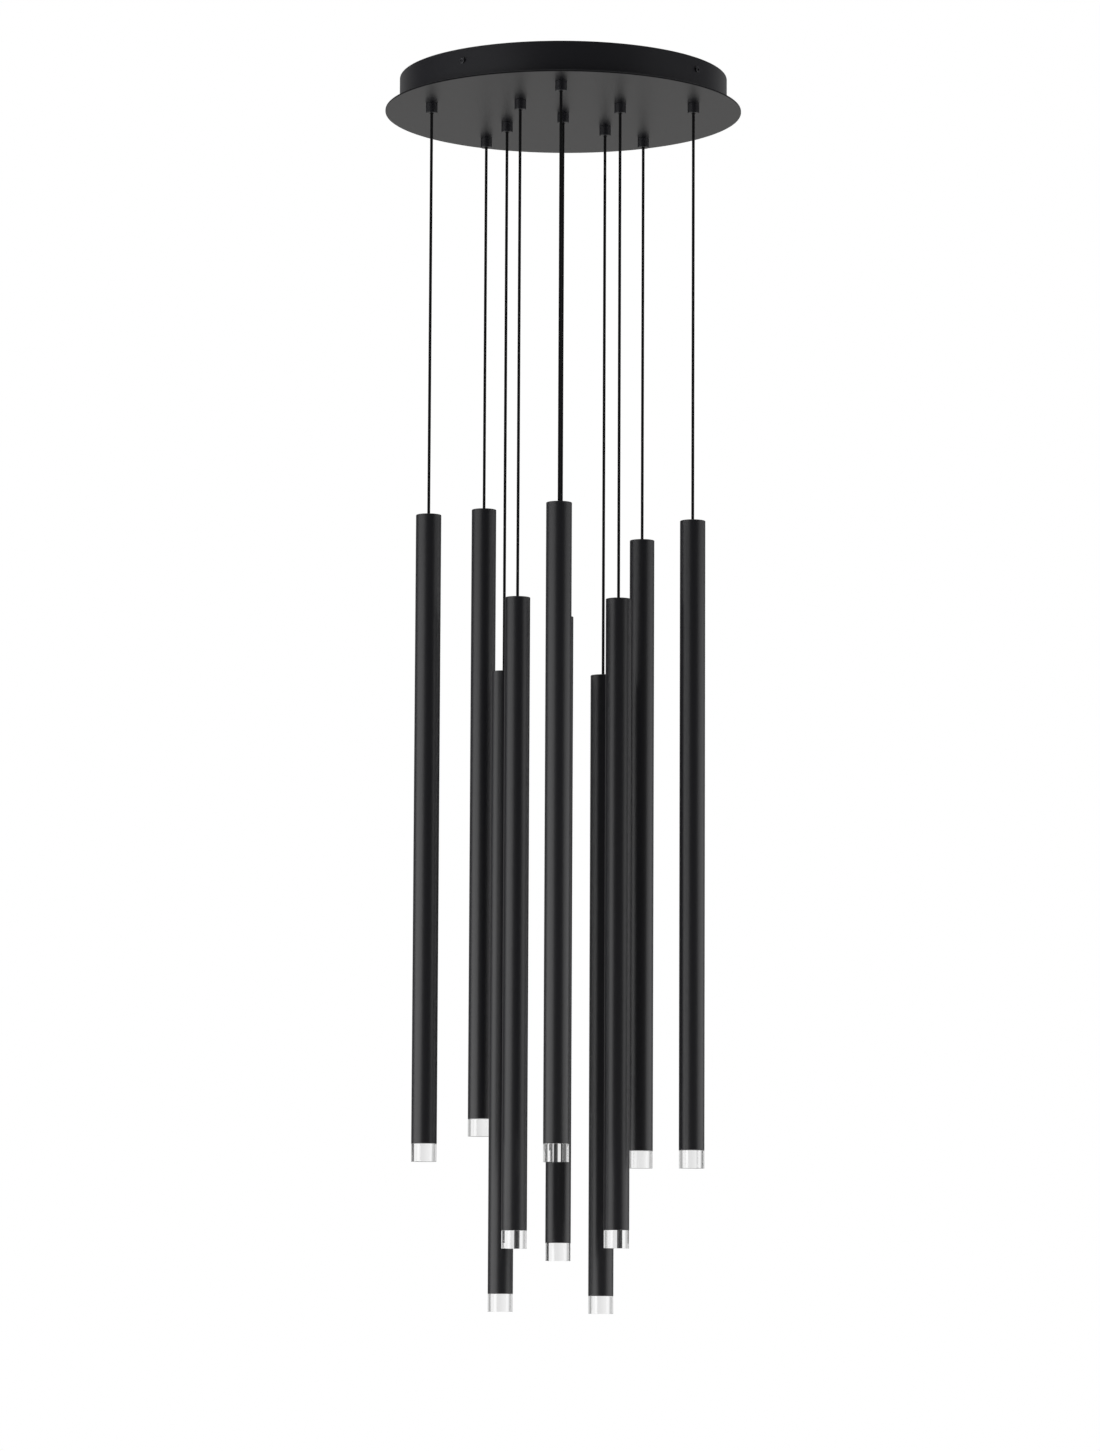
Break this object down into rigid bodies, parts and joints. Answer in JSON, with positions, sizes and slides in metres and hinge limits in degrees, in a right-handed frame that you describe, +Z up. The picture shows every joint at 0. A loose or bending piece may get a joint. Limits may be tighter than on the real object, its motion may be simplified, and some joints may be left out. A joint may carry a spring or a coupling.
{
  "type": "cluster pendant",
  "caption": "Cluster pendant: slim black rods with clear glowing tips hang on thin cords at staggered heights from one round flat ceiling canopy.",
  "frame": {"origin": "in the ceiling plane, midway between the two slots of the ceiling bracket, on the canopy's axis", "axes": "+Z up into the ceiling, +X along the bracket's strap and slots, -Y towards the viewer of the picture"},
  "size_m": [0.3999, 0.4, 1.3797],
  "materials": {
    "black_powder_coat": "matte",
    "black_tube_coat": "satin",
    "black_screw_steel": "satin",
    "black_cord": "matte",
    "clear_acrylic": "polished",
    "sink_aluminium": "satin",
    "zinc_steel": "satin",
    "driver_plastic": "matte",
    "terminal_plastic": "matte"
  },
  "bodies": {
    "canopy": {"ceiling_bracket": "zinc_steel", "canopy_drum": "black_powder_coat", "canopy_plate": "black_powder_coat", "side_screws": "black_screw_steel", "cord_grips": "black_powder_coat", "grip_nuts": "zinc_steel", "stud_nuts": "zinc_steel", "earth_screw": "zinc_steel", "led_driver": "driver_plastic", "terminal_block": "terminal_plastic"},
    "hanger_01": {"cord_01": "black_cord"},
    "rod_01": {"rod_tube_01": "black_tube_coat", "led_engine_01": "sink_aluminium", "lens_01": "clear_acrylic"},
    "hanger_02": {"cord_02": "black_cord"},
    "rod_02": {"rod_tube_02": "black_tube_coat", "led_engine_02": "sink_aluminium", "lens_02": "clear_acrylic"},
    "hanger_03": {"cord_03": "black_cord"},
    "rod_03": {"rod_tube_03": "black_tube_coat", "led_engine_03": "sink_aluminium", "lens_03": "clear_acrylic"},
    "hanger_04": {"cord_04": "black_cord"},
    "rod_04": {"rod_tube_04": "black_tube_coat", "led_engine_04": "sink_aluminium", "lens_04": "clear_acrylic"},
    "hanger_05": {"cord_05": "black_cord"},
    "rod_05": {"rod_tube_05": "black_tube_coat", "led_engine_05": "sink_aluminium", "lens_05": "clear_acrylic"},
    "hanger_06": {"cord_06": "black_cord"},
    "rod_06": {"rod_tube_06": "black_tube_coat", "led_engine_06": "sink_aluminium", "lens_06": "clear_acrylic"},
    "hanger_07": {"cord_07": "black_cord"},
    "rod_07": {"rod_tube_07": "black_tube_coat", "led_engine_07": "sink_aluminium", "lens_07": "clear_acrylic"},
    "hanger_08": {"cord_08": "black_cord"},
    "rod_08": {"rod_tube_08": "black_tube_coat", "led_engine_08": "sink_aluminium", "lens_08": "clear_acrylic"},
    "hanger_09": {"cord_09": "black_cord"},
    "rod_09": {"rod_tube_09": "black_tube_coat", "led_engine_09": "sink_aluminium", "lens_09": "clear_acrylic"},
    "hanger_10": {"cord_10": "black_cord"},
    "rod_10": {"rod_tube_10": "black_tube_coat", "led_engine_10": "sink_aluminium", "lens_10": "clear_acrylic"}
  },
  "joints": [
    {"name": "swing_01", "type": "hinge", "parent": "canopy", "child": "hanger_01", "pos_m": [0, 0, -0.048], "axis": [0.1564, -0.9877, 0], "range_deg": [-3, 3]},
    {"name": "lift_01", "type": "slide", "parent": "hanger_01", "child": "rod_01", "axis": [0, 0, 1], "range_m": [0, 0.15], "deforming": ["cord_01"]},
    {"name": "swing_02", "type": "hinge", "parent": "canopy", "child": "hanger_02", "pos_m": [0.06432, -0.04673, -0.048], "axis": [-0.5878, -0.809, 0], "range_deg": [-1.5, 6]},
    {"name": "lift_02", "type": "slide", "parent": "hanger_02", "child": "rod_02", "axis": [0, 0, 1], "range_m": [0, 0.15], "deforming": ["cord_02"]},
    {"name": "swing_03", "type": "hinge", "parent": "canopy", "child": "hanger_03", "pos_m": [0.04673, 0.06432, -0.048], "axis": [0.809, -0.5878, 0], "range_deg": [-1.5, 1.5]},
    {"name": "lift_03", "type": "slide", "parent": "hanger_03", "child": "rod_03", "axis": [0, 0, 1], "range_m": [0, 0.15], "deforming": ["cord_03"]},
    {"name": "swing_04", "type": "hinge", "parent": "canopy", "child": "hanger_04", "pos_m": [-0.06432, 0.04673, -0.048], "axis": [0.5878, 0.809, 0], "range_deg": [-1.5, 6]},
    {"name": "lift_04", "type": "slide", "parent": "hanger_04", "child": "rod_04", "axis": [0, 0, 1], "range_m": [0, 0.15], "deforming": ["cord_04"]},
    {"name": "swing_05", "type": "hinge", "parent": "canopy", "child": "hanger_05", "pos_m": [-0.04673, -0.06432, -0.048], "axis": [-0.809, 0.5878, 0], "range_deg": [-1.5, 6]},
    {"name": "lift_05", "type": "slide", "parent": "hanger_05", "child": "rod_05", "axis": [0, 0, 1], "range_m": [0, 0.15], "deforming": ["cord_05"]},
    {"name": "swing_06", "type": "hinge", "parent": "canopy", "child": "hanger_06", "pos_m": [0, -0.1535, -0.048], "axis": [-1, 0, 0], "range_deg": [-2, 12]},
    {"name": "lift_06", "type": "slide", "parent": "hanger_06", "child": "rod_06", "axis": [0, 0, 1], "range_m": [0, 0.15], "deforming": ["cord_06"]},
    {"name": "swing_07", "type": "hinge", "parent": "canopy", "child": "hanger_07", "pos_m": [0.14599, -0.04743, -0.048], "axis": [-0.309, -0.9511, 0], "range_deg": [-2, 12]},
    {"name": "lift_07", "type": "slide", "parent": "hanger_07", "child": "rod_07", "axis": [0, 0, 1], "range_m": [0, 0.15], "deforming": ["cord_07"]},
    {"name": "swing_08", "type": "hinge", "parent": "canopy", "child": "hanger_08", "pos_m": [0.09022, 0.12418, -0.048], "axis": [0.809, -0.5878, 0], "range_deg": [-2, 12]},
    {"name": "lift_08", "type": "slide", "parent": "hanger_08", "child": "rod_08", "axis": [0, 0, 1], "range_m": [0, 0.15], "deforming": ["cord_08"]},
    {"name": "swing_09", "type": "hinge", "parent": "canopy", "child": "hanger_09", "pos_m": [-0.09022, 0.12418, -0.048], "axis": [0.809, 0.5878, 0], "range_deg": [-2, 12]},
    {"name": "lift_09", "type": "slide", "parent": "hanger_09", "child": "rod_09", "axis": [0, 0, 1], "range_m": [0, 0.15], "deforming": ["cord_09"]},
    {"name": "swing_10", "type": "hinge", "parent": "canopy", "child": "hanger_10", "pos_m": [-0.14599, -0.04743, -0.048], "axis": [-0.309, 0.9511, 0], "range_deg": [-2, 12]},
    {"name": "lift_10", "type": "slide", "parent": "hanger_10", "child": "rod_10", "axis": [0, 0, 1], "range_m": [0, 0.15], "deforming": ["cord_10"]}
  ]
}
